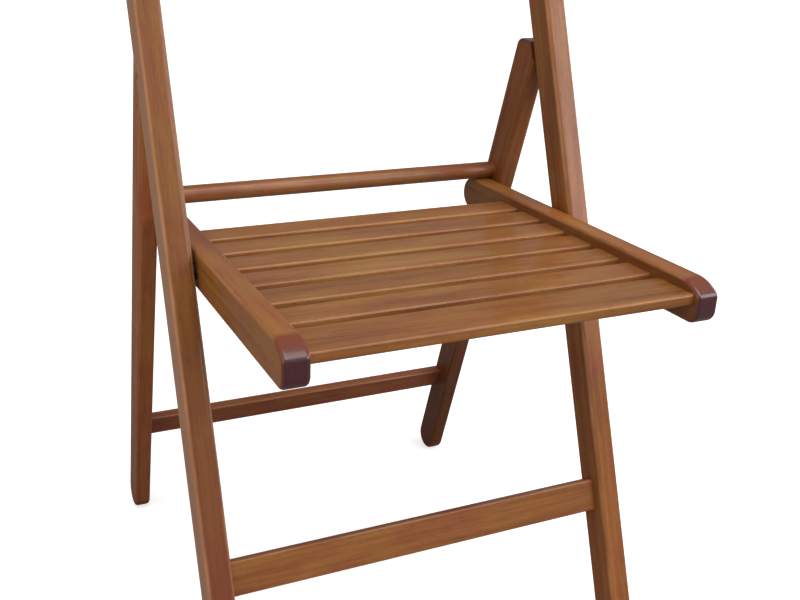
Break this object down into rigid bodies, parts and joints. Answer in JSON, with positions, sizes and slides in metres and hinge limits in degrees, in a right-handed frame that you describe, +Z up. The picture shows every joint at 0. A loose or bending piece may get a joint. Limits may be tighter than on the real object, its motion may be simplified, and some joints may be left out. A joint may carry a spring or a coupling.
{
  "type": "folding chair",
  "caption": "Slatted wooden folding chair with raking side posts, a seat that folds up between them and a rear frame that swings in against the posts.",
  "frame": {"origin": "on the floor, in the middle of the open chair's bounding box", "axes": "+X across the chair, the chair faces -Y, +Z up"},
  "size_m": [0.44, 0.4872, 0.77],
  "materials": {
    "post_wood": "walnut-stained beech, satin varnish",
    "seat_wood": "walnut-stained beech, glossy varnish",
    "leg_wood": "walnut-stained beech, satin varnish",
    "board_wood": "walnut-stained beech, satin varnish",
    "plug_wood": "walnut-stained beech, satin varnish",
    "zinc_steel": "bright zinc",
    "black_nylon": "moulded",
    "brass": "plain"
  },
  "bodies": {
    "front_frame": {"left_post": "post_wood", "right_post": "post_wood", "front_stretcher": "board_wood", "back_slat_lower": "board_wood", "back_slat_upper": "board_wood", "seat_pivot_bolts": "zinc_steel", "seat_pivot_washers": "black_nylon", "seat_pivot_inserts": "brass", "leg_pivot_pins": "zinc_steel", "pivot_plugs": "plug_wood"},
    "seat": {"left_seat_rail": "seat_wood", "right_seat_rail": "seat_wood", "seat_slat_1": "seat_wood", "seat_slat_2": "seat_wood", "seat_slat_3": "seat_wood", "seat_slat_4": "seat_wood", "seat_slat_5": "seat_wood", "seat_slat_6": "seat_wood", "seat_slat_7": "seat_wood"},
    "rear_frame": {"left_rear_leg": "leg_wood", "right_rear_leg": "leg_wood", "rear_stretcher": "board_wood", "stop_dowel": "board_wood", "hinge_plates": "zinc_steel", "plate_pins": "zinc_steel", "plate_pin_plugs": "plug_wood"}
  },
  "joints": [
    {"name": "seat_fold", "type": "hinge", "parent": "front_frame", "child": "seat", "pos_m": [0, -0.01353, 0.40851], "axis": [-1, 0, 0], "range_deg": [0, 110.7]},
    {"name": "rear_leg_fold", "type": "hinge", "parent": "front_frame", "child": "rear_frame", "pos_m": [0, 0.06787, 0.56377], "axis": [-1, 0, 0], "range_deg": [0, 36.9]}
  ],
  "couplings": [
    {"joint": "rear_leg_fold", "follows": "seat_fold", "ratio": 0.333}
  ]
}
